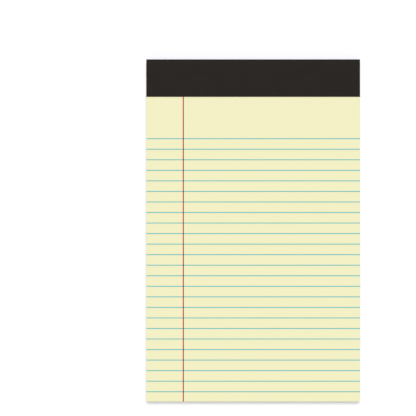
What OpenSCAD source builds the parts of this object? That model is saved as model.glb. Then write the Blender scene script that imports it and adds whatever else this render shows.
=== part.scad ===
// Ruled writing pad, bound at the head, lying on its back.
// X runs across the sheets, Y towards the bound head and Z up through the thickness.
// The origin is the centre of the base, on the surface that the pad lies on.

/* [Sheets] */
// Width of a sheet
sheet_w = 127; // [100:0.5:216]
// Length of a sheet, from foot to head
sheet_l = 203.2; // [120:0.1:356]
// Number of sheets in the pad
sheet_count = 50; // [20:1:100]
// Thickness of one sheet
sheet_t = 0.085; // [0.06:0.005:0.12]

/* [Backing board] */
// Thickness of the chipboard behind the sheets
board_t = 0.8; // [0.75:0.05:1.6]

/* [Binding tape] */
// Thickness of the tape
tape_t = 0.15; // [0.08:0.01:0.3]
// Depth of the tape on the front, from the head
front_flap = 22.2; // [15:0.1:32]
// Depth of the tape on the back, from the head
back_flap = 20.6; // [15:0.1:32]
// Radius that the fold presses on the two head edges
fold_r = 0.35; // [0.1:0.05:0.6]

/* [Perforation] */
// Distance from the tape's front edge to the perforation
perf_drop = 0.7; // [0.3:0.1:3]
// Length of one cut
perf_cut = 1; // [0.5:0.1:3]
// Length of the paper tie between two cuts
perf_tie = 0.8; // [0.4:0.1:2]
// Width of one cut
perf_w = 0.08; // [0.05:0.01:0.2]

/* [Staples] */
// Diameter of the wire
wire_d = 0.45; // [0.35:0.05:0.5]
// Distance between the centres of a staple's two legs
crown_w = 12.7; // [10:0.1:16]
// Length of a clinched end, past its bend
clinch_l = 4; // [2:0.1:4.4]
// Radius of the bends, on the centre of the wire
bend_r = 0.4; // [0.35:0.01:0.45]
// Distance from the head to the line of the staples
staple_drop = 9.5; // [4:0.1:14]
// Distance between the centres of the two staples
staple_pitch = 64; // [20:0.5:80]
// Radial clearance of a leg in its hole
leg_gap = 0.04; // [0.02:0.01:0.05]
// Clearance round a crown and round a clinched end
groove_gap = 0.06; // [0.06:0.01:0.1]

/* [Hidden] */
$fn = 48;

// Length that a cut runs on past the face it goes through
over = 1;

// Levels through the thickness
page_t = sheet_count * sheet_t;
back_z = tape_t;
board_top_z = back_z + board_t;
front_z = board_top_z + page_t;
closed_t = board_t + page_t;

// Places along the length, with the tape's spine counted in the whole
foot_y = -(sheet_l + tape_t) / 2;
head_y = foot_y + sheet_l;
perf_y = head_y - front_flap - perf_drop;
staple_y = head_y - staple_drop;

// Row of cuts, as long as fits between two ties at the sides
perf_step = perf_cut + perf_tie;
perf_count = floor((sheet_w - perf_tie) / perf_step);
perf_row_w = perf_count * perf_step - perf_tie;

// Centre lines of the wire, and the groove that takes it
wire_r = wire_d / 2;
leg_x = crown_w / 2;
bend_x = leg_x - bend_r;
crown_z = front_z - groove_gap - wire_r;
clinch_z = back_z + groove_gap + wire_r;
groove_w = wire_d + 2 * groove_gap;

// Sets a side view, drawn in Y and Z, across the full width of the pad
module across_width() {
    translate([-sheet_w / 2, 0, 0])
        rotate([90, 0, 90])
            linear_extrude(sheet_w)
                children();
}

// Side view of the sheets and board together, round at the head and grown by a skin
module bound_side(skin) {
    translate([foot_y, back_z - skin])
        square([sheet_l - fold_r, closed_t + 2 * skin]);
    translate([head_y - fold_r, back_z + fold_r])
        square([fold_r + skin, closed_t - 2 * fold_r]);
    for (corner_z = [back_z + fold_r, front_z - fold_r])
        translate([head_y - fold_r, corner_z])
            circle(fold_r + skin);
}

// Side view of one layer of the bound pad, between two levels
module layer_side(low_z, high_z) {
    intersection() {
        bound_side(0);
        translate([foot_y, low_z])
            square([sheet_l, high_z - low_z]);
    }
}

// Side view of the two flaps and the spine, before the pad is taken out of them
module flap_side() {
    middle_z = (back_z + front_z) / 2;
    translate([head_y - front_flap, middle_z])
        square([front_flap + tape_t, front_z + tape_t - middle_z]);
    translate([head_y - back_flap, 0])
        square([back_flap + tape_t, middle_z]);
}

// One row of narrow cuts right through the sheets
module perforation() {
    for (i = [0 : perf_count - 1])
        translate([i * perf_step - perf_row_w / 2, perf_y - perf_w / 2, board_top_z - over])
            cube([perf_cut, perf_w, page_t + 2 * over]);
}

// A quarter bend of the wire, from +X towards +Z
module wire_bend() {
    rotate([90, 0, 0])
        rotate_extrude(angle = 90)
            translate([bend_r, 0])
                circle(wire_r);
}

// Straight wire along X from one place to another
module wire_run(from_x, to_x) {
    translate([from_x, 0, 0])
        rotate([0, 90, 0])
            cylinder(h = to_x - from_x, r = wire_r);
}

// Half a staple on the +X side: crown, bend, leg, bend and clinched end
module half_staple() {
    translate([0, 0, crown_z])
        wire_run(0, bend_x);
    translate([bend_x, 0, crown_z - bend_r])
        wire_bend();
    translate([leg_x, 0, clinch_z + bend_r])
        cylinder(h = crown_z - clinch_z - 2 * bend_r, r = wire_r);
    translate([bend_x, 0, clinch_z + bend_r])
        mirror([0, 0, 1])
            wire_bend();
    translate([0, 0, clinch_z])
        wire_run(bend_x - clinch_l, bend_x);
}

// A staple, its middle a given way along X from the pad's middle
module staple(middle_x) {
    translate([middle_x, staple_y, 0]) {
        half_staple();
        mirror([1, 0, 0])
            half_staple();
    }
}

// Box-shaped room for the wire between two places along X and two levels
module wire_room(from_x, to_x, low_z, high_z) {
    translate([from_x, -groove_w / 2, low_z])
        cube([to_x - from_x, groove_w, high_z - low_z]);
}

// Room for half a staple: leg hole, crown groove, clinch groove and a pocket at each bend
module half_staple_room() {
    end_x = leg_x + wire_r + groove_gap;
    translate([leg_x, 0, clinch_z])
        cylinder(h = crown_z - clinch_z, r = wire_r + leg_gap);
    wire_room(-over, end_x, crown_z - wire_r - groove_gap, front_z + over);
    wire_room(bend_x, end_x, crown_z - bend_r, front_z + over);
    wire_room(bend_x - clinch_l - groove_gap, end_x, back_z - over, clinch_z + wire_r + groove_gap);
    wire_room(bend_x, end_x, back_z - over, clinch_z + bend_r);
}

// Room for both staples in the sheets and the board
module staple_rooms() {
    for (side = [-1, 1])
        translate([side * staple_pitch / 2, staple_y, 0]) {
            half_staple_room();
            mirror([1, 0, 0])
                half_staple_room();
        }
}

// The sheets, squared up and held as one block
module page_block() {
    color("#F3F0C5")
        difference() {
            across_width()
                layer_side(board_top_z, front_z);
            perforation();
            staple_rooms();
        }
}

// The chipboard that stiffens the pad
module backing_board() {
    color("#A59A86")
        difference() {
            across_width()
                layer_side(back_z, board_top_z);
            staple_rooms();
        }
}

// The tape, one strip folded over the head and down both sides
module binding_tape() {
    color("#2D2926")
        across_width()
            difference() {
                intersection() {
                    bound_side(tape_t);
                    flap_side();
                }
                bound_side(0);
            }
}

// The staple on the -X side
module left_staple() {
    color("#C4C6C8")
        staple(-staple_pitch / 2);
}

// The staple on the +X side
module right_staple() {
    color("#C4C6C8")
        staple(staple_pitch / 2);
}

page_block();
backing_board();
binding_tape();
left_staple();
right_staple();
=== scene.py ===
"""A ruled writing pad, bound at the head, lying on its back on a plain studio floor.

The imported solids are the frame: every piece here takes its place and size from them. The sheets, the board
and the tape are modelled again in finer detail over their solids. The wire staple at either side keeps its
solid and gets its metal.
"""

import logging
import math
import random
from collections.abc import Callable, Iterator
from contextlib import contextmanager
from dataclasses import dataclass, field
from enum import Enum
from typing import Any, ClassVar

import bmesh
import bpy
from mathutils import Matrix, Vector


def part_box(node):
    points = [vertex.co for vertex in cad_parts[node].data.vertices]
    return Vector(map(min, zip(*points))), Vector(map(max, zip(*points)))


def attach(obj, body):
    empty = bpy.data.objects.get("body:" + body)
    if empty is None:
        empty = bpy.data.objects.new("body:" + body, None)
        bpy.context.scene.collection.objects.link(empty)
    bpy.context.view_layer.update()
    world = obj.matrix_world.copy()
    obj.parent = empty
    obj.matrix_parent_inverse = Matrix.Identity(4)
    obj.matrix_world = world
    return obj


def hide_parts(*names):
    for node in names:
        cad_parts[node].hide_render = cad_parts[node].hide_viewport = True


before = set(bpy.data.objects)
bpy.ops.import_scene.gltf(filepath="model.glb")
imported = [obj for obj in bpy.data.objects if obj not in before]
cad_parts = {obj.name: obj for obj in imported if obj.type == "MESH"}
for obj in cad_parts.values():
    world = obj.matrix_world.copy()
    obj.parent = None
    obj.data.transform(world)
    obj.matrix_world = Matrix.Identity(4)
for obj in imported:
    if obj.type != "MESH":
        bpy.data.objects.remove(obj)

LOG = logging.getLogger("writing_pad")
BODY = "root"

# The attribute that shifts a sheet's ruling, and the name of the map that holds a piece's own flat layout
REGISTER = "register"
BAKE_MAP = "OFBake"

MM = 0.001
# Places this near each other count as the same one, and doubles nearer than a hair are merged
TINY = 0.001 * MM
HAIR = 0.0001 * MM
SMOOTH_UNDER = math.radians(30)
NOISE_MIDDLE = 0.5
WHITE = (1.0, 1.0, 1.0, 1.0)

# Inputs of the Mix node, whose names repeat
FLOAT_A, FLOAT_B, COLOUR_A, COLOUR_B = 2, 3, 6, 7

Colour = tuple[float, float, float, float]
Place = tuple[float, float, float]
Span = tuple[float, float]
Corners = tuple[Vector, Vector]
Piece = bpy.types.Object
Material = bpy.types.Material
Tree = bpy.types.NodeTree
Node = bpy.types.Node
Source = Node | bpy.types.NodeSocket


class Pick(Enum):
    """The kind of mesh element that a selection takes."""

    VERTS = "VERT"
    EDGES = "EDGE"
    FACES = "FACE"


class Side(Enum):
    """A side of the pad, by the staple that it holds."""

    LEFT = "left_staple"
    RIGHT = "right_staple"


class Facing(Enum):
    """The way a face looks: the axis, and the sign along it."""

    RIGHT = (0, True)
    LEFT = (0, False)
    HEAD = (1, True)
    FOOT = (1, False)
    TOP = (2, True)
    BOTTOM = (2, False)


def linear(hex_colour: str) -> Colour:
    """Turns an sRGB hex colour into the linear one that nodes take.

    Args:
        hex_colour: Six hex digits after a hash sign.

    Returns:
        Linear red, green and blue, and an alpha of one.
    """
    channels = [int(hex_colour[start:start + 2], 16) / 255 for start in (1, 3, 5)]
    red, green, blue = (c / 12.92 if c <= 0.04045 else ((c + 0.055) / 1.055) ** 2.4 for c in channels)
    return red, green, blue, 1.0


def per_metre(size_mm: float) -> float:
    """How many features of this size, in millimetres, go into one metre."""
    return 1 / (size_mm * MM)


def add_node(
    tree: Tree, kind: str, settings: dict[str | int, Any] | None = None,
    links: dict[str | int, Source] | None = None
) -> Node:
    """Adds a node with its settings and the links into it.

    Args:
        tree: The tree that takes the node.
        kind: The node's type name, without the word for shader nodes that each starts with.
        settings: Values by the name of a property, or by the name or number of an input.
        links: What feeds each input, by its name or number: a socket, or a node's first output in use.

    Returns:
        The new node.
    """
    node = tree.nodes.new(f"ShaderNode{kind}")
    for key, value in (settings or {}).items():
        if isinstance(key, str) and hasattr(node, key):
            setattr(node, key, value)
        else:
            node.inputs[key].default_value = value
    for key, source in (links or {}).items():
        if isinstance(source, bpy.types.Node):
            source = next(output for output in source.outputs if output.enabled)
        tree.links.new(source, node.inputs[key])
    return node


def blank_material(name: str) -> tuple[Material, Tree]:
    """Makes a material with an empty node tree.

    Args:
        name: The finish, in a maker's plain words.

    Returns:
        The material and its tree.
    """
    material = bpy.data.materials.new(name)
    material.use_nodes = True
    material.node_tree.nodes.clear()
    return material, material.node_tree


def deselect_all() -> None:
    """Deselects every object, because an operator acts on all that is selected."""
    bpy.ops.object.select_all(action="DESELECT")


def activate(*pieces: Piece) -> None:
    """Selects only these objects and makes the first one active.

    Args:
        *pieces: The objects to select.
    """
    deselect_all()
    for piece in pieces:
        piece.select_set(True)
    bpy.context.view_layer.objects.active = pieces[0]


@contextmanager
def editing(piece: Piece) -> Iterator[None]:
    """Opens a piece in edit mode and closes it again.

    Args:
        piece: The mesh object to edit.

    Yields:
        Nothing, while the piece is open.
    """
    activate(piece)
    bpy.ops.object.mode_set(mode="EDIT")
    yield
    bpy.ops.object.mode_set(mode="OBJECT")


def corners_of(places: list[Vector]) -> Corners:
    """The lowest and the highest corner of the box round some places."""
    low, high = (Vector(map(bound, zip(*places, strict=True))) for bound in (min, max))
    return low, high


def choose(piece: Piece, pick: Pick, test: Callable[[Vector, Vector], bool]) -> None:
    """Selects, in edit mode, only the elements that pass a test of their place.

    Args:
        piece: The object in edit mode.
        pick: The kind of element to select.
        test: Takes the lowest and the highest corner of an element's box and says whether to take it.
    """
    bpy.ops.mesh.select_mode(type=pick.value)
    bpy.ops.mesh.select_all(action="DESELECT")
    mesh = bmesh.from_edit_mesh(piece.data)
    elements = {Pick.VERTS: mesh.verts, Pick.EDGES: mesh.edges, Pick.FACES: mesh.faces}[pick]
    for element in elements:
        places = [element.co] if pick is Pick.VERTS else [vert.co for vert in element.verts]
        element.select_set(test(*corners_of(places)))
    bmesh.update_edit_mesh(piece.data)


def shape_primitive(size: Place, middle: Place) -> None:
    """Stretches a new unit primitive, still selected in edit mode, to its size and moves it to its place."""
    bpy.ops.transform.resize(value=size, center_override=(0, 0, 0))
    bpy.ops.transform.translate(value=middle)


def apply_modifier(piece: Piece, kind: str, **settings: Any) -> None:
    """Adds a modifier to a piece and applies it at once.

    Args:
        piece: The mesh object.
        kind: The modifier's type name.
        **settings: The modifier's properties by name.
    """
    activate(piece)
    modifier = piece.modifiers.new(kind.title(), kind)
    for key, value in settings.items():
        setattr(modifier, key, value)
    bpy.ops.object.modifier_apply(modifier=modifier.name)


def carve(piece: Piece, solids: list[Piece]) -> None:
    """Cuts solids out of a piece, and merges the hair-thin steps where two of them share a wall.

    Args:
        piece: The closed mesh to cut.
        solids: The objects to cut out, in order.
    """
    for solid in solids:
        apply_modifier(piece, "BOOLEAN", object=solid, operation="DIFFERENCE", solver="EXACT")
    with editing(piece):
        bpy.ops.mesh.select_all(action="SELECT")
        bpy.ops.mesh.remove_doubles(threshold=HAIR)


def lay_map(piece: Piece, strips: dict[Facing, Span]) -> None:
    """Lays a piece's faces out flat, by their place, with a strip of the unit square for each facing.

    The map that its primitive brought goes, because nothing reads it and cutting leaves chance values in it.

    Args:
        piece: The finished mesh object.
        strips: The lower and the upper edge of each facing's strip.
    """
    mesh = piece.data
    while mesh.uv_layers:
        mesh.uv_layers.remove(mesh.uv_layers[0])
    layer = mesh.uv_layers.new(name=BAKE_MAP)
    places = [vert.co for vert in mesh.vertices]
    low, high = corners_of(places)
    for face in mesh.polygons:
        axis = max(range(3), key=lambda i, normal=face.normal: abs(normal[i]))
        from_v, to_v = strips[Facing((axis, face.normal[axis] > 0))]
        across = 1 if axis == 0 else 0
        upward = 1 if axis == 2 else 2
        for corner in face.loop_indices:
            place = places[mesh.loops[corner].vertex_index]
            part = [(place[i] - low[i]) / (high[i] - low[i]) for i in range(3)]
            layer.uv[corner].vector = (part[across], from_v + (to_v - from_v) * part[upward])


def dress(piece: Piece, material: Material) -> Piece:
    """Gives a piece its one material.

    Args:
        piece: The mesh object.
        material: Its finish.

    Returns:
        The same piece.
    """
    piece.data.materials.clear()
    piece.data.materials.append(material)
    return piece


def settle(piece: Piece, name: str, node: str) -> Piece:
    """Names a finished piece, lets it ride on the pad and hides the solid that it stands for.

    Args:
        piece: The mesh object, at the origin.
        name: The piece's name.
        node: The solid that it replaces.

    Returns:
        The same piece.
    """
    piece.name = piece.data.name = name
    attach(piece, BODY)
    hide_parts(node)
    return piece


@dataclass(frozen=True)
class PadLayout:
    """The pad's edges and levels, in metres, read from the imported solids."""

    pages: Corners = field(default_factory=lambda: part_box("page_block"))
    board: Corners = field(default_factory=lambda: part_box("backing_board"))
    tape: Corners = field(default_factory=lambda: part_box("binding_tape"))
    # The inner radius of the tape's folds and the length of its back flap, which the boxes don't tell
    fold_r: float = 0.35 * MM
    back_flap: float = 20.6 * MM

    @property
    def left_x(self) -> float:
        """The left edge of the sheets."""
        return self.pages[0].x

    @property
    def width(self) -> float:
        """The width of the sheets."""
        return self.pages[1].x - self.pages[0].x

    @property
    def foot_y(self) -> float:
        """The foot of the sheets."""
        return self.pages[0].y

    @property
    def head_y(self) -> float:
        """The head of the sheets, inside the tape's spine."""
        return self.pages[1].y

    @property
    def length(self) -> float:
        """The length of the sheets."""
        return self.head_y - self.foot_y

    @property
    def front_z(self) -> float:
        """The face of the top sheet."""
        return self.pages[1].z

    @property
    def board_top_z(self) -> float:
        """The face of the board that the sheets lie on."""
        return self.board[1].z

    @property
    def back_z(self) -> float:
        """The back of the board."""
        return self.board[0].z

    @property
    def tape_t(self) -> float:
        """The thickness of the tape."""
        return self.tape[1].z - self.front_z

    @property
    def flap_y(self) -> float:
        """The front flap's edge."""
        return self.tape[0].y


@dataclass(frozen=True, kw_only=True)
class Finish:
    """What every finish has besides its colours: its shine, and a relief too fine to model.

    The roughness is uneven, and the refraction and the gloss are the shader's own where a finish sets none.
    """

    metallic: float = 0.0
    ior: float = 1.5
    gloss: float = 0.5
    rough_low: float
    rough_high: float
    relief: float
    relief_depth: float
    relief_sunken: bool = False

    def surface(self, tree: Tree, colour: Source, rough_by: Source, relief_by: Source) -> None:
        """Adds the relief, the roughness, the shader and the output that end a material.

        Args:
            tree: The material's tree.
            colour: The surface's colour.
            rough_by: The pattern that the roughness follows.
            relief_by: The pattern that the relief follows.
        """
        bump = add_node(
            tree, "Bump",
            {"Strength": self.relief, "Distance": self.relief_depth, "invert": self.relief_sunken},
            {"Height": relief_by},
        )
        rough = add_node(
            tree, "MapRange", {"To Min": self.rough_low, "To Max": self.rough_high}, {0: rough_by}
        )
        shader = add_node(
            tree, "BsdfPrincipled",
            {"Metallic": self.metallic, "IOR": self.ior, "Specular IOR Level": self.gloss},
            {"Base Color": colour, "Roughness": rough, "Normal": bump},
        )
        add_node(tree, "OutputMaterial", links={"Surface": shader})


@dataclass(frozen=True, kw_only=True)
class RuledBond(Finish):
    """Canary bond, an uncoated wood-free paper dyed in the pulp and ruled in two inks.

    The dye makes it one colour right through. The pressed fibres leave a fine cloudy grain that runs with
    the sheet's length. The thin ruling inks let the paper show, so they darken each other where they cross.
    Each sheet's own register attribute shifts its ruling, because no two sheets are ruled quite alike.
    """

    ior: float = 1.47
    gloss: float = 0.2
    rough_low: float = 0.82
    rough_high: float = 0.92
    relief: float = 0.25
    relief_depth: float = 0.02 * MM
    paper: str = "#F4F1C7"
    paper_thick: str = "#F2EFC2"
    cloud_mm: float = 2.2
    # Fibres are about 0.03 mm wide: they are drawn ten times as coarse, or they wouldn't show
    fibre_mm: float = 0.3
    fibre_share: float = 0.55
    along_scale: float = 0.45
    rule_ink: str = "#50C7F9"
    margin_ink: str = "#BC203C"
    rule_count: int = 25
    rule_pitch: float = 6.263 * MM
    first_rule: float = 47.05 * MM
    rule_width: float = 0.51 * MM
    margin_in: float = 22.0 * MM
    margin_width: float = 0.64 * MM
    frayed_by: float = 0.06 * MM
    # The share of the ink that a cut edge shows, and how far up the normal points on an edge and on a face
    cut_ink: float = 0.3
    cut_up: float = 0.4
    face_up: float = 0.6

    def material(self, layout: PadLayout) -> Material:
        """Builds the paper with its ruling, laid out from the sheet's own edges.

        Args:
            layout: The pad's levels and edges.

        Returns:
            The material.
        """
        material, tree = blank_material("canary_bond")
        coords = add_node(tree, "TexCoord")
        grain = self.grain(tree, coords.outputs["Object"])
        colour = add_node(
            tree, "Mix",
            {"data_type": "RGBA", COLOUR_A: linear(self.paper), COLOUR_B: linear(self.paper_thick)},
            {0: grain},
        )
        strength = self.ink_strength(tree, coords.outputs["Normal"])
        place = self.printed_place(tree, coords.outputs["Object"])
        lines = (
            (self.off_rule(tree, place, layout), self.rule_width, self.rule_ink),
            (self.off_margin(tree, place, layout), self.margin_width, self.margin_ink),
        )
        for off, width, ink in lines:
            away = add_node(tree, "Math", {"operation": "ABSOLUTE"}, {0: off})
            frayed = add_node(
                tree, "Math", {"operation": "MULTIPLY_ADD", 1: self.frayed_by}, {0: grain, 2: away}
            )
            inked = add_node(
                tree, "MapRange",
                {"interpolation_type": "SMOOTHSTEP", "From Min": width / 2 + self.frayed_by,
                 "From Max": width / 2},
                {0: frayed, "To Max": strength},
            )
            colour = add_node(
                tree, "Mix", {"data_type": "RGBA", "blend_type": "MULTIPLY", COLOUR_B: linear(ink)},
                {0: inked, COLOUR_A: colour},
            )
        self.surface(tree, colour, rough_by=grain, relief_by=grain)
        return material

    def grain(self, tree: Tree, place: Source) -> Node:
        """Cloudy fibre grain, drawn out along the sheet as the paper machine lays it.

        Args:
            tree: The material's tree.
            place: The place on the sheet.

        Returns:
            The node that runs from thin to thick paper.
        """
        along = add_node(tree, "Mapping", {"Scale": (1.0, self.along_scale, 1.0)}, {0: place})
        clouds, fibres = (
            add_node(
                tree, "TexNoise", {"Scale": per_metre(size_mm), "Detail": 2.0, "Roughness": rough},
                {0: along},
            )
            for size_mm, rough in ((self.cloud_mm, 0.5), (self.fibre_mm, 0.6))
        )
        return add_node(
            tree, "Mix", {"data_type": "FLOAT", 0: self.fibre_share}, {FLOAT_A: clouds, FLOAT_B: fibres}
        )

    def ink_strength(self, tree: Tree, normal: Source) -> Node:
        """How strong the ink is: full on the face of a sheet, and weak where its cut edge shows.

        Args:
            tree: The material's tree.
            normal: The surface's normal.

        Returns:
            The node of the strength.
        """
        parts = add_node(tree, "SeparateXYZ", links={0: normal})
        upright = add_node(tree, "Math", {"operation": "ABSOLUTE"}, {0: parts.outputs["Z"]})
        return add_node(
            tree, "MapRange", {"From Min": self.cut_up, "From Max": self.face_up, "To Min": self.cut_ink},
            {0: upright},
        )

    def printed_place(self, tree: Tree, place: Source) -> Node:
        """The place on a sheet as its own ruling was laid, which its register attribute shifts.

        Args:
            tree: The material's tree.
            place: The place on the pad.

        Returns:
            The node of the place's parts.
        """
        register = add_node(tree, "Attribute", {"attribute_name": REGISTER})
        shifted = add_node(
            tree, "VectorMath", {"operation": "ADD"}, {0: place, 1: register.outputs["Vector"]}
        )
        return add_node(tree, "SeparateXYZ", links={0: shifted})

    def off_rule(self, tree: Tree, place: Node, layout: PadLayout) -> Node:
        """How far off the nearest rule a place lies, counted in rows from the first rule.

        Args:
            tree: The material's tree.
            place: The node of the place's parts.
            layout: The pad's levels and edges.

        Returns:
            The node of the distance, in metres.
        """
        first_y = layout.head_y - self.first_rule
        row = add_node(
            tree, "Math",
            {"operation": "MULTIPLY_ADD", 1: -1 / self.rule_pitch, 2: first_y / self.rule_pitch},
            {0: place.outputs["Y"]},
        )
        nearest = add_node(tree, "Math", {"operation": "ROUND"}, {0: row})
        ruled = add_node(tree, "Clamp", {"Min": 0.0, "Max": self.rule_count - 1}, {0: nearest})
        rows_off = add_node(tree, "Math", {"operation": "SUBTRACT"}, {0: row, 1: ruled})
        return add_node(tree, "Math", {"operation": "MULTIPLY", 1: self.rule_pitch}, {0: rows_off})

    def off_margin(self, tree: Tree, place: Node, layout: PadLayout) -> Node:
        """How far off the margin line a place lies.

        Args:
            tree: The material's tree.
            place: The node of the place's parts.
            layout: The pad's levels and edges.

        Returns:
            The node of the distance, in metres.
        """
        margin_x = layout.left_x + self.margin_in
        return add_node(tree, "Math", {"operation": "SUBTRACT", 1: margin_x}, {0: place.outputs["X"]})


@dataclass(frozen=True, kw_only=True)
class CoatedTape(Finish):
    """Dark binding paper, coated with a flexible lacquer and embossed with a fine leather grain.

    The lacquer gives a low, even sheen. The grain's rounded pebbles are too fine to show from a reading
    distance. The creases between them are darkened with painted shade, which stands in for the shadow that
    falls in them.
    """

    gloss: float = 0.08
    rough_low: float = 0.55
    rough_high: float = 0.65
    relief: float = 0.8
    relief_depth: float = 0.08 * MM
    relief_sunken: bool = True
    colour: str = "#221D18"
    worn: str = "#26211C"
    # The colour of the painted shade in the creases between the pebbles
    crease_shade_colour: str = "#0E0B09"
    ripple_mm: float = 3.0
    # How wide a pebble is, how round, and how far the painted shade of a crease runs into it, as a share of
    # its width
    grain_mm: float = 0.45
    rounding: float = 0.4
    crease_shade_share: float = 0.12

    def material(self) -> Material:
        """Builds the tape's finish.

        Returns:
            The material.
        """
        material, tree = blank_material("embossed_binding_paper")
        place = add_node(tree, "TexCoord").outputs["Object"]
        scale = per_metre(self.grain_mm)
        pebbles = add_node(
            tree, "TexVoronoi", {"Scale": scale, "feature": "SMOOTH_F1", "Smoothness": self.rounding},
            {0: place},
        )
        borders = add_node(tree, "TexVoronoi", {"Scale": scale, "feature": "DISTANCE_TO_EDGE"}, {0: place})
        # Painted shade: darkest on the borders between the pebbles, where the creases lie, and fading into
        # each pebble
        crease_shade_mask = add_node(
            tree, "MapRange", {"From Min": self.crease_shade_share, "From Max": 0.0}, {0: borders}
        )
        ripple = add_node(
            tree, "TexNoise", {"Scale": per_metre(self.ripple_mm), "Detail": 3.0}, {0: place}
        )
        tint = add_node(
            tree, "Mix", {"data_type": "RGBA", COLOUR_A: linear(self.colour), COLOUR_B: linear(self.worn)},
            {0: ripple},
        )
        crease_shaded = add_node(
            tree, "Mix", {"data_type": "RGBA", COLOUR_B: linear(self.crease_shade_colour)}, {0: crease_shade_mask, COLOUR_A: tint}
        )
        self.surface(tree, crease_shaded, rough_by=ripple, relief_by=pebbles)
        return material


@dataclass(frozen=True, kw_only=True)
class Chipboard(Finish):
    """Unlined chipboard, pressed from waste paper.

    Its grey-brown pulp is cloudy and speckled, with thin curled pale fibres and ragged dark flecks of old
    print, and it has no shine.
    """

    ior: float = 1.47
    gloss: float = 0.2
    rough_low: float = 0.86
    rough_high: float = 0.96
    relief: float = 0.5
    relief_depth: float = 0.04 * MM
    pulp: str = "#A99E8A"
    pulp_dark: str = "#8F8471"
    fibre: str = "#C4BAA7"
    fleck: str = "#645C50"
    cloud_mm: float = 7.0
    # The pulp's own fibres, too, are drawn about ten times as coarse as they are, so that they show
    speckle_mm: float = 0.25
    speckle_share: float = 0.55
    # The noise at which the pulp is darkest and palest
    dark_at: float = 0.35
    pale_at: float = 0.65
    # A fibre runs where one noise is near its middle, and breaks off where another is low
    curl_mm: float = 2.2
    line_from: float = 0.016
    line_full: float = 0.006
    break_mm: float = 1.6
    kept_from: float = 0.52
    kept_full: float = 0.6
    fibre_strength: float = 0.6
    # A cell holds a fleck if it draws enough, and the fleck fades out over these distances, in cells
    fleck_mm: float = 1.7
    fleck_draw: float = 0.5
    fleck_from: float = 0.17
    fleck_full: float = 0.1
    fleck_strength: float = 0.9
    ragged_mm: float = 0.35
    ragged_by: float = 0.5 * MM

    def material(self) -> Material:
        """Builds the board's finish.

        Returns:
            The material.
        """
        material, tree = blank_material("grey_chipboard")
        place = add_node(tree, "TexCoord").outputs["Object"]
        speckle = add_node(
            tree, "TexNoise", {"Scale": per_metre(self.speckle_mm), "Detail": 2.0, "Roughness": 0.6},
            {0: place},
        )
        colour = self.pulp_colour(tree, place, speckle)
        marks = ((self.fibre_mask(tree, place), self.fibre), (self.fleck_mask(tree, place), self.fleck))
        for mask, shade in marks:
            colour = add_node(
                tree, "Mix", {"data_type": "RGBA", COLOUR_B: linear(shade)}, {0: mask, COLOUR_A: colour}
            )
        self.surface(tree, colour, rough_by=speckle, relief_by=speckle)
        return material

    def pulp_colour(self, tree: Tree, place: Source, speckle: Node) -> Node:
        """The pulp's colour, in broad clouds with a fine speckle on them.

        Args:
            tree: The material's tree.
            place: The place on the board.
            speckle: The noise of the single fibres.

        Returns:
            The node that mixes the colour.
        """
        clouds = add_node(
            tree, "TexNoise", {"Scale": per_metre(self.cloud_mm), "Detail": 4.0}, {0: place}
        )
        both = add_node(
            tree, "Mix", {"data_type": "FLOAT", 0: self.speckle_share}, {FLOAT_A: clouds, FLOAT_B: speckle}
        )
        shade = add_node(tree, "MapRange", {"From Min": self.dark_at, "From Max": self.pale_at}, {0: both})
        return add_node(
            tree, "Mix",
            {"data_type": "RGBA", COLOUR_A: linear(self.pulp_dark), COLOUR_B: linear(self.pulp)}, {0: shade},
        )

    def fibre_mask(self, tree: Tree, place: Source) -> Node:
        """Where a pale fibre lies: short stretches of the curled lines along which a noise is level.

        Args:
            tree: The material's tree.
            place: The place on the board.

        Returns:
            The node of the fibre's share.
        """
        curls = add_node(
            tree, "TexNoise",
            {"Scale": per_metre(self.curl_mm), "Detail": 2.0, "Roughness": 0.4, "Distortion": 0.3},
            {0: place},
        )
        breaks = add_node(
            tree, "TexNoise", {"Scale": per_metre(self.break_mm), "Detail": 0.0}, {0: place}
        )
        off_level = add_node(tree, "Math", {"operation": "SUBTRACT", 1: NOISE_MIDDLE}, {0: curls})
        away = add_node(tree, "Math", {"operation": "ABSOLUTE"}, {0: off_level})
        kept = add_node(
            tree, "MapRange",
            {"From Min": self.kept_from, "From Max": self.kept_full, "To Max": self.fibre_strength},
            {0: breaks},
        )
        return add_node(
            tree, "MapRange", {"From Min": self.line_from, "From Max": self.line_full},
            {0: away, "To Max": kept},
        )

    def fleck_mask(self, tree: Tree, place: Source) -> Node:
        """Where a dark fleck lies: a ragged spot in some of the cells, each with its own strength.

        Args:
            tree: The material's tree.
            place: The place on the board.

        Returns:
            The node of the fleck's share.
        """
        ragged = add_node(
            tree, "TexNoise", {"Scale": per_metre(self.ragged_mm), "Detail": 1.0}, {0: place}
        )
        pulled = add_node(
            tree, "VectorMath", {"operation": "MULTIPLY_ADD", 1: (self.ragged_by,) * 3},
            {0: ragged.outputs["Color"], 2: place},
        )
        cells = add_node(tree, "TexVoronoi", {"Scale": per_metre(self.fleck_mm)}, {0: pulled})
        draw = add_node(tree, "SeparateColor", links={0: cells.outputs["Color"]})
        strength = add_node(
            tree, "MapRange", {"From Min": self.fleck_draw, "To Max": self.fleck_strength}, {0: draw}
        )
        return add_node(
            tree, "MapRange", {"From Min": self.fleck_from, "From Max": self.fleck_full},
            {0: cells.outputs["Distance"], "To Max": strength},
        )


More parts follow.
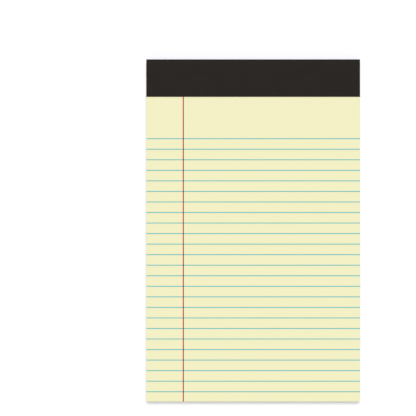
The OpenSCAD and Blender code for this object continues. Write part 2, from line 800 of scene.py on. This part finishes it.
@dataclass(frozen=True, kw_only=True)
class GalvanisedWire(Finish):
    """Galvanised steel stitching wire, drawn through a die.

    The die leaves fine lines along the wire, drawn here along the crowns and the clinches, and the zinc has
    a soft, slightly uneven sheen.
    """

    metallic: float = 1.0
    rough_low: float = 0.28
    rough_high: float = 0.45
    relief: float = 0.3
    relief_depth: float = 0.004 * MM
    bright: str = "#C4C6C8"
    dull: str = "#A7A9AA"
    # The lines are about 0.01 mm apart: they are drawn eight times as far apart, or they wouldn't show
    line_mm: float = 0.08
    along_scale: float = 0.06

    def material(self) -> Material:
        """Builds the wire's finish.

        Returns:
            The material.
        """
        material, tree = blank_material("galvanised_wire")
        place = add_node(tree, "TexCoord").outputs["Object"]
        along = add_node(tree, "Mapping", {"Scale": (self.along_scale, 1.0, 1.0)}, {0: place})
        lines = add_node(
            tree, "TexNoise", {"Scale": per_metre(self.line_mm), "Detail": 1.0}, {0: along}
        )
        tint = add_node(
            tree, "Mix", {"data_type": "RGBA", COLOUR_A: linear(self.dull), COLOUR_B: linear(self.bright)},
            {0: lines},
        )
        self.surface(tree, tint, rough_by=lines, relief_by=lines)
        return material


@dataclass
class StapleRooms:
    """The room that each staple takes in the sheets and in the board, as solids to cut with.

    A solid holds parts that lie apart: the rods round the legs, or the boxes round the bends or the runs of
    wire at one end.
    """

    layout: PadLayout
    # The room round a leg, and round a crown or a clinch with its bends
    leg_gap: float = 0.04 * MM
    groove_gap: float = 0.06 * MM
    bend_r: float = 0.4 * MM
    clinch_l: float = 4.0 * MM
    # How far the solids stand out past the pad's face and back
    over: float = 1.0 * MM
    leg_facets: int = 16
    wire_r: float = field(init=False)
    half_crown: float = field(init=False)
    crown_z: float = field(init=False)
    clinch_z: float = field(init=False)
    legs: list[Piece] = field(init=False, default_factory=list)
    crowns: list[Piece] = field(init=False, default_factory=list)
    clinches: list[Piece] = field(init=False, default_factory=list)

    def __post_init__(self) -> None:
        """Reads the wire's size and levels from one staple, because the other is its like."""
        low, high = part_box(Side.LEFT.value)
        self.wire_r = (high.y - low.y) / 2
        self.half_crown = (high.x - low.x) / 2
        self.crown_z = high.z - self.wire_r
        self.clinch_z = low.z + self.wire_r

    @property
    def crown_from_z(self) -> float:
        """The level at which the bends under the crowns start."""
        return self.crown_z - self.bend_r

    @property
    def middles(self) -> list[Vector]:
        """The middle of the staple at each side."""
        return [sum(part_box(side.value), Vector()) / 2 for side in Side]

    def build(self) -> None:
        """Models the solids for the legs, the crowns with their bends, and the clinches with theirs."""
        reach = self.half_crown + self.groove_gap
        across = self.wire_r + self.groove_gap
        bend_in = self.half_crown - self.wire_r - self.bend_r
        clinch_in = bend_in - self.clinch_l - self.groove_gap
        above, below = self.layout.front_z + self.over, self.layout.back_z - self.over
        bends = [(-reach, -bend_in), (bend_in, reach)]
        ends = [(-reach, -clinch_in), (clinch_in, reach)]
        self.legs = [self.model_rods()]
        self.crowns = [
            self.model_boxes(bends, self.crown_from_z, above),
            self.model_boxes([(-reach, reach)], self.crown_z - across, above),
        ]
        self.clinches = [
            self.model_boxes(bends, below, self.clinch_z + self.bend_r),
            self.model_boxes(ends, below, self.clinch_z + across),
        ]

    def model_boxes(self, spans: list[Span], from_z: float, to_z: float) -> Piece:
        """Models boxes round lengths of each staple's wire.

        Args:
            spans: Where each box starts and ends along X, from the staple's middle.
            from_z: The boxes' lower level.
            to_z: Their upper level.

        Returns:
            One object with a box for each span of each staple.
        """
        width = 2 * (self.wire_r + self.groove_gap)
        solid = self.blank_solid()
        with editing(solid):
            for middle in self.middles:
                for from_x, to_x in spans:
                    bpy.ops.mesh.select_all(action="DESELECT")
                    bpy.ops.mesh.primitive_cube_add(size=1)
                    shape_primitive(
                        (to_x - from_x, width, to_z - from_z),
                        (middle.x + (from_x + to_x) / 2, middle.y, (from_z + to_z) / 2),
                    )
        return solid

    def model_rods(self) -> Piece:
        """Models a rod round each leg.

        Returns:
            One object with the four rods.
        """
        solid = self.blank_solid()
        with editing(solid):
            for middle in self.middles:
                for way in (-1, 1):
                    leg_x = middle.x + way * (self.half_crown - self.wire_r)
                    bpy.ops.mesh.select_all(action="DESELECT")
                    bpy.ops.mesh.primitive_cylinder_add(
                        vertices=self.leg_facets, radius=self.wire_r + self.leg_gap,
                        depth=self.crown_z - self.clinch_z, location=(leg_x, middle.y, middle.z),
                    )
        return solid

    def blank_solid(self) -> Piece:
        """Adds an empty mesh object to model a cutting solid in.

        Returns:
            The object.
        """
        solid = bpy.data.objects.new("cutting_solid", bpy.data.meshes.new("cutting_solid"))
        bpy.context.scene.collection.objects.link(solid)
        return solid

    def discard(self) -> None:
        """Takes the cutting solids out of the scene."""
        for solid in self.legs + self.crowns + self.clinches:
            bpy.data.objects.remove(solid)


@dataclass
class SheetStack:
    """The ruled sheets: fifty separate leaves, each with its row of cuts and its holes for the wire.

    A guillotine trims them together, and each springs back by hundredths of a millimetre. The rows are cut
    and the lines ruled before the sheets are gathered, so they don't quite line up.
    """

    layout: PadLayout
    finish: RuledBond
    rooms: StapleRooms
    count: int = 50
    # The air between two sheets, and the most that a sheet's edge, row and ruling are off
    air: float = 0.006 * MM
    trim: float = 0.05 * MM
    row_shift: float = 0.12 * MM
    rule_shift: float = 0.2 * MM
    perf_drop: float = 0.7 * MM
    perf_cut: float = 1.0 * MM
    perf_tie: float = 0.8 * MM
    perf_width: float = 0.08 * MM
    seed: int = 11
    top_strips: ClassVar[dict[Facing, Span]] = {
        Facing.TOP: (0.12, 1.0), Facing.BOTTOM: (0.04, 0.11), Facing.FOOT: (0.0, 0.008),
        Facing.HEAD: (0.01, 0.018), Facing.LEFT: (0.02, 0.028), Facing.RIGHT: (0.03, 0.038),
    }
    stack_strips: ClassVar[dict[Facing, Span]] = {
        Facing.TOP: (0.7, 1.0), Facing.BOTTOM: (0.7, 1.0), Facing.FOOT: (0.0, 0.16),
        Facing.HEAD: (0.17, 0.33), Facing.LEFT: (0.34, 0.5), Facing.RIGHT: (0.51, 0.67),
    }

    @property
    def pitch(self) -> float:
        """The height from one sheet to the next."""
        return (self.layout.front_z - self.layout.board_top_z) / self.count

    @property
    def row_y(self) -> float:
        """The middle of the perforation row."""
        return self.layout.flap_y - self.perf_drop

    def build(self) -> list[Piece]:
        """Models one leaf, copies it through the stack and dresses the two pieces.

        Returns:
            The top sheet and the sheets under it.
        """
        draws = random.Random(self.seed)
        pattern = self.model_leaf()
        leaves = [self.place_leaf(pattern, level, draws) for level in range(self.count)]
        bpy.data.objects.remove(pattern)
        activate(*leaves[:-1])
        bpy.ops.object.join()
        stack, top = leaves[0], leaves[-1]
        lay_map(top, self.top_strips)
        lay_map(stack, self.stack_strips)
        material = self.finish.material(self.layout)
        return [
            settle(dress(piece, material), name, "page_block")
            for piece, name in ((top, "top_sheet"), (stack, "sheet_stack"))
        ]

    def cut_ends(self) -> list[float]:
        """Where each cut of the perforation starts and ends along X.

        Returns:
            The places in order, two for each cut.
        """
        step = self.perf_cut + self.perf_tie
        cuts = math.floor((self.layout.width - self.perf_tie) / step)
        start = -(cuts * step - self.perf_tie) / 2
        return [start + i * step + end for i in range(cuts) for end in (0.0, self.perf_cut)]

    def in_row(self, low: Vector, high: Vector) -> bool:
        """Whether a box lies in the perforation row."""
        half = self.perf_width / 2 + TINY
        return low.y > self.row_y - half and high.y < self.row_y + half

    def model_leaf(self) -> Piece:
        """Models the lowest sheet: cuts the row out of a plane, gives it its thickness and punches it.

        Returns:
            The leaf, with the holes for the legs.
        """
        plan = self.layout
        middle_y = (plan.foot_y + plan.head_y) / 2
        deselect_all()
        bpy.ops.mesh.primitive_plane_add(size=1, enter_editmode=True)
        leaf = bpy.context.object
        shape_primitive((plan.width, plan.length, 1.0), (0, middle_y, plan.board_top_z + self.pitch))
        for edge_y in (self.row_y - self.perf_width / 2, self.row_y + self.perf_width / 2):
            bpy.ops.mesh.select_all(action="SELECT")
            bpy.ops.mesh.bisect(plane_co=(0, edge_y, 0), plane_no=(0, 1, 0), threshold=TINY)
        ends = self.cut_ends()
        for end_x in ends:
            choose(leaf, Pick.FACES, self.in_row)
            bpy.ops.mesh.bisect(plane_co=(end_x, 0, 0), plane_no=(1, 0, 0), threshold=TINY)
        choose(leaf, Pick.FACES, lambda low, high: self.in_row(low, high) and any(
            abs(low.x - start_x) < TINY for start_x in ends[::2]
        ))
        bpy.ops.mesh.delete(type="FACE")
        bpy.ops.object.mode_set(mode="OBJECT")
        apply_modifier(leaf, "SOLIDIFY", thickness=self.pitch - self.air, offset=-1)
        carve(leaf, self.rooms.legs)
        return leaf

    def place_leaf(self, pattern: Piece, level: int, draws: random.Random) -> Piece:
        """Copies the leaf to its level, trims its edges and fits it into the fold and round the crowns.

        Args:
            pattern: The leaf to copy.
            level: How many sheets lie under it.
            draws: Gives each sheet's small offsets. The top sheet has none.

        Returns:
            The new leaf.
        """
        plan = self.layout
        is_top = level == self.count - 1
        top_z = plan.board_top_z + (level + 1) * self.pitch
        into_fold = max(top_z - (plan.front_z - plan.fold_r), 0.0)
        crushed = plan.fold_r - math.sqrt(max(plan.fold_r ** 2 - into_fold ** 2, 0.0))
        activate(pattern)
        bpy.ops.object.duplicate()
        leaf = bpy.context.object
        with editing(leaf):
            bpy.ops.mesh.select_all(action="SELECT")
            bpy.ops.transform.translate(value=(0, 0, level * self.pitch))
            choose(leaf, Pick.VERTS, lambda low, high: low.y > plan.head_y - TINY)
            bpy.ops.transform.translate(value=(0, -crushed, 0))
            if not is_top:
                self.trim_leaf(leaf, draws)
        if top_z > self.rooms.crown_from_z:
            carve(leaf, self.rooms.crowns)
        shift = [0.0 if is_top else draws.uniform(-self.rule_shift, self.rule_shift) for _ in range(2)]
        register = leaf.data.attributes.new(REGISTER, "FLOAT_VECTOR", "POINT")
        register.data.foreach_set("vector", (*shift, 0.0) * len(leaf.data.vertices))
        return leaf

    def trim_leaf(self, leaf: Piece, draws: random.Random) -> None:
        """Moves a leaf's three open edges and its perforation by small amounts.

        Args:
            leaf: The leaf, in edit mode.
            draws: Gives the amounts.
        """
        plan = self.layout
        choose(leaf, Pick.VERTS, lambda low, high: low.y < plan.foot_y + TINY)
        bpy.ops.transform.translate(value=(0, draws.uniform(0, self.trim), 0))
        for way in (-1, 1):
            edge_x = -way * plan.left_x
            choose(leaf, Pick.VERTS, lambda low, high, x=edge_x: abs(low.x - x) < TINY)
            bpy.ops.transform.translate(value=(-way * draws.uniform(0, self.trim), 0, 0))
        choose(leaf, Pick.VERTS, lambda low, high: abs(low.y - self.row_y) < self.perf_width)
        bpy.ops.transform.translate(value=(0, draws.uniform(-self.row_shift, self.row_shift), 0))


@dataclass
class BackingBoard:
    """The chipboard that stiffens the pad, its cut edges rolled a little by the guillotine."""

    layout: PadLayout
    finish: Chipboard
    rooms: StapleRooms
    rolled: float = 0.08 * MM
    rolled_segments: int = 2
    fold_segments: int = 6
    strips: ClassVar[dict[Facing, Span]] = {
        Facing.BOTTOM: (0.0, 0.62), Facing.TOP: (0.63, 0.87), Facing.FOOT: (0.88, 0.905),
        Facing.HEAD: (0.91, 0.935), Facing.LEFT: (0.94, 0.965), Facing.RIGHT: (0.97, 1.0),
    }

    def build(self) -> list[Piece]:
        """Models the board, with its crushed head edge and the room for the wire.

        Returns:
            The board.
        """
        start, end = self.layout.board
        deselect_all()
        bpy.ops.mesh.primitive_cube_add(size=1, enter_editmode=True)
        board = bpy.context.object
        shape_primitive(tuple(end - start), tuple((start + end) / 2))
        choose(board, Pick.EDGES, lambda low, high: low.y > end.y - TINY and high.z < start.z + TINY)
        bpy.ops.mesh.bevel(offset=self.layout.fold_r, segments=self.fold_segments, affect="EDGES")
        choose(board, Pick.EDGES, lambda low, high: high.y < start.y + TINY or (
            high.y - low.y > self.layout.length / 2 and (high.z < start.z + TINY or low.z > end.z - TINY)
        ))
        bpy.ops.mesh.bevel(offset=self.rolled, segments=self.rolled_segments, affect="EDGES")
        bpy.ops.object.mode_set(mode="OBJECT")
        carve(board, self.rooms.legs + self.rooms.clinches)
        activate(board)
        bpy.ops.object.shade_smooth_by_angle(angle=SMOOTH_UNDER)
        lay_map(board, self.strips)
        dress(board, self.finish.material())
        return [settle(board, "chipboard_back", "backing_board")]


@dataclass
class BindingTape:
    """The tape: one strip, folded over the head, that dips a little over the wire's crowns."""

    layout: PadLayout
    finish: CoatedTape
    dip: float = 0.05 * MM
    dip_slope: float = 0.45 * MM
    fold_steps: int = 8

    def build(self) -> list[Piece]:
        """Models the outer skin from flap to flap, gives it its thickness and presses the dips.

        Returns:
            The tape.
        """
        plan = self.layout
        back_z, front_z = (corner.z for corner in plan.tape)
        fold_y = plan.head_y - plan.fold_r
        fold_top_z, fold_back_z = plan.front_z - plan.fold_r, plan.back_z + plan.fold_r
        deselect_all()
        bpy.ops.mesh.primitive_plane_add(size=1, enter_editmode=True)
        tape = bpy.context.object
        shape_primitive((plan.width, fold_y - plan.flap_y, 1), (0, (fold_y + plan.flap_y) / 2, front_z))
        choose(tape, Pick.EDGES, lambda low, high: low.y > fold_y - TINY)
        self.fold_over((0, fold_y, fold_top_z))
        choose(tape, Pick.EDGES, lambda low, high: high.z < fold_top_z + TINY)
        bpy.ops.mesh.extrude_region_move(
            TRANSFORM_OT_translate={"value": (0, 0, fold_back_z - fold_top_z)}
        )
        self.fold_over((0, fold_y, fold_back_z))
        choose(tape, Pick.EDGES, lambda low, high: high.z < back_z + TINY)
        bpy.ops.mesh.extrude_region_move(
            TRANSFORM_OT_translate={"value": (0, plan.fold_r - plan.back_flap, 0)}
        )
        bpy.ops.object.mode_set(mode="OBJECT")
        apply_modifier(tape, "SOLIDIFY", thickness=plan.tape_t, offset=-1, use_even_offset=True)
        with editing(tape):
            for side in Side:
                self.press_dip(tape, side)
        activate(tape)
        bpy.ops.object.shade_smooth_by_angle(angle=SMOOTH_UNDER)
        dress(tape, self.finish.material())
        return [settle(tape, "folded_tape", "binding_tape")]

    def fold_over(self, centre: Place) -> None:
        """Spins the selected edge a quarter turn, downwards and back, round the fold's centre."""
        bpy.ops.mesh.spin(steps=self.fold_steps, angle=math.pi / 2, center=centre, axis=(1, 0, 0))

    def press_dip(self, tape: Piece, side: Side) -> None:
        """Cuts two nested outlines round the crown at a side and sinks the outer skin inside the inner one.

        Args:
            tape: The tape, in edit mode.
            side: The side of the pad.
        """
        start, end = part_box(side.value)
        for grown in (0.0, self.dip_slope):
            for axis, normal in enumerate(((1, 0, 0), (0, 1, 0))):
                for at in (start[axis] - grown, end[axis] + grown):
                    bpy.ops.mesh.select_all(action="SELECT")
                    bpy.ops.mesh.bisect(plane_co=at * Vector(normal), plane_no=normal, threshold=TINY)
        front_z = self.layout.tape[1].z
        choose(tape, Pick.VERTS, lambda low, high: low.z > front_z - TINY and all(
            start[axis] - TINY < low[axis] < end[axis] + TINY for axis in (0, 1)
        ))
        bpy.ops.transform.translate(value=(0, 0, -self.dip))


@dataclass
class WireFasteners:
    """The wire staple at each side, which keeps its solid and gets its metal."""

    finish: GalvanisedWire

    def build(self) -> list[Piece]:
        """Dresses the wire at both sides.

        Returns:
            The two solids.
        """
        material = self.finish.material()
        return [dress(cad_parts[side.value], material) for side in Side]


@dataclass
class Studio:
    """Plain white floor, soft light and the camera that looks straight down on the pad.

    The key lamp and the room together light a level face at the strength at which a colour shows as written.
    """

    layout: PadLayout
    lens_mm: float = 100.0
    sensor_mm: float = 36.0
    # The photograph's frame and the pad's edges in it
    image_px: float = 416.0
    pad_left_px: float = 146.1
    pad_right_px: float = 360.2
    pad_top_px: float = 59.5
    pad_bottom_px: float = 401.3
    floor_side: float = 8.0
    floor_colour: str = "#F2F2F7"
    # What the floor glows, for the eye alone, on top of the light that it gives back
    floor_glow: float = 0.142
    room_share: float = 0.3
    key_share: float = 0.7
    key_from: Place = (0.0, 0.385, 1.0)
    key_spread: float = math.radians(34)

    def build(self) -> None:
        """Sets the floor, the room, the lamp, the camera and the view transform."""
        self.lay_floor()
        self.set_room()
        self.hang_key()
        self.set_camera()
        bpy.context.scene.view_settings.view_transform = "Standard"

    def white_for_eye(self, tree: Tree) -> Source:
        """One where a ray comes from the camera or a glossy or clear surface, and nought for light itself.

        Args:
            tree: The tree to add the nodes to.

        Returns:
            What gives that factor.
        """
        path = add_node(tree, "LightPath")
        seen: Source = path.outputs["Is Camera Ray"]
        for ray in ("Is Glossy Ray", "Is Transmission Ray"):
            seen = add_node(tree, "Math", {"operation": "MAXIMUM"}, {0: seen, 1: path.outputs[ray]})
        return seen

    def lay_floor(self) -> None:
        """Lays the matt white floor at the pad's lowest level."""
        deselect_all()
        bpy.ops.mesh.primitive_plane_add(size=self.floor_side)
        floor = bpy.context.object
        floor.name = "studio_floor"
        material, tree = blank_material("white_sweep")
        glow = add_node(
            tree, "Math", {"operation": "MULTIPLY", 1: self.floor_glow}, {0: self.white_for_eye(tree)}
        )
        paint = add_node(
            tree, "BsdfPrincipled",
            {"Base Color": linear(self.floor_colour), "Roughness": 1.0, "Specular IOR Level": 0.0,
             "Emission Color": WHITE},
            {"Emission Strength": glow},
        )
        add_node(tree, "OutputMaterial", links={"Surface": paint})
        floor.data.materials.append(material)

    def set_room(self) -> None:
        """Lights the pad with an even grey room and shows that room white."""
        world = bpy.data.worlds.new("soft_room")
        bpy.context.scene.world = world
        world.use_nodes = True
        tree = world.node_tree
        tree.nodes.clear()
        grey = (self.room_share, self.room_share, self.room_share, 1.0)
        colour = add_node(
            tree, "Mix", {"data_type": "RGBA", COLOUR_A: grey, COLOUR_B: WHITE},
            {0: self.white_for_eye(tree)},
        )
        sky = add_node(tree, "Background", {"Strength": 1.0}, {"Color": colour})
        add_node(tree, "OutputWorld", links={"Surface": sky})

    def hang_key(self) -> None:
        """Hangs the wide, far key lamp towards the head of the pad."""
        towards = Vector(self.key_from).normalized()
        data = bpy.data.lights.new("key", "SUN")
        data.energy = self.key_share * math.pi / towards.z
        data.angle = self.key_spread
        lamp = bpy.data.objects.new("key", data)
        lamp.location = towards
        lamp.rotation_euler = towards.to_track_quat("Z", "Y").to_euler()
        bpy.context.scene.collection.objects.link(lamp)

    def set_camera(self) -> None:
        """Hangs the camera over the point that the photograph's middle shows."""
        across = self.layout.width / (self.pad_right_px - self.pad_left_px)
        along = (self.layout.tape[1].y - self.layout.foot_y) / (self.pad_bottom_px - self.pad_top_px)
        scale = (across + along) / 2
        middle_px = self.image_px / 2
        aim_x = (middle_px - (self.pad_left_px + self.pad_right_px) / 2) * scale
        aim_y = ((self.pad_top_px + self.pad_bottom_px) / 2 - middle_px) * scale
        data = bpy.data.cameras.new("camera")
        data.lens = self.lens_mm
        data.sensor_width = self.sensor_mm
        camera = bpy.data.objects.new("camera", data)
        distance = self.image_px * scale * self.lens_mm / self.sensor_mm
        camera.location = (aim_x, aim_y, self.layout.front_z + distance)
        bpy.context.scene.collection.objects.link(camera)
        bpy.context.scene.camera = camera


def report(pieces: list[Piece]) -> None:
    """Logs the name and the number of faces of each finished piece."""
    for piece in pieces:
        LOG.info("%s: %d faces", piece.name, len(piece.data.polygons))


def main() -> None:
    """Builds the pad and its studio in order."""
    logging.basicConfig(level=logging.INFO, format="%(name)s %(message)s")
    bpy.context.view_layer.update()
    layout = PadLayout()
    rooms = StapleRooms(layout)
    rooms.build()
    report(SheetStack(layout, RuledBond(), rooms).build())
    report(BackingBoard(layout, Chipboard(), rooms).build())
    rooms.discard()
    report(BindingTape(layout, CoatedTape()).build())
    report(WireFasteners(GalvanisedWire()).build())
    Studio(layout).build()


if __name__ == "__main__":
    main()
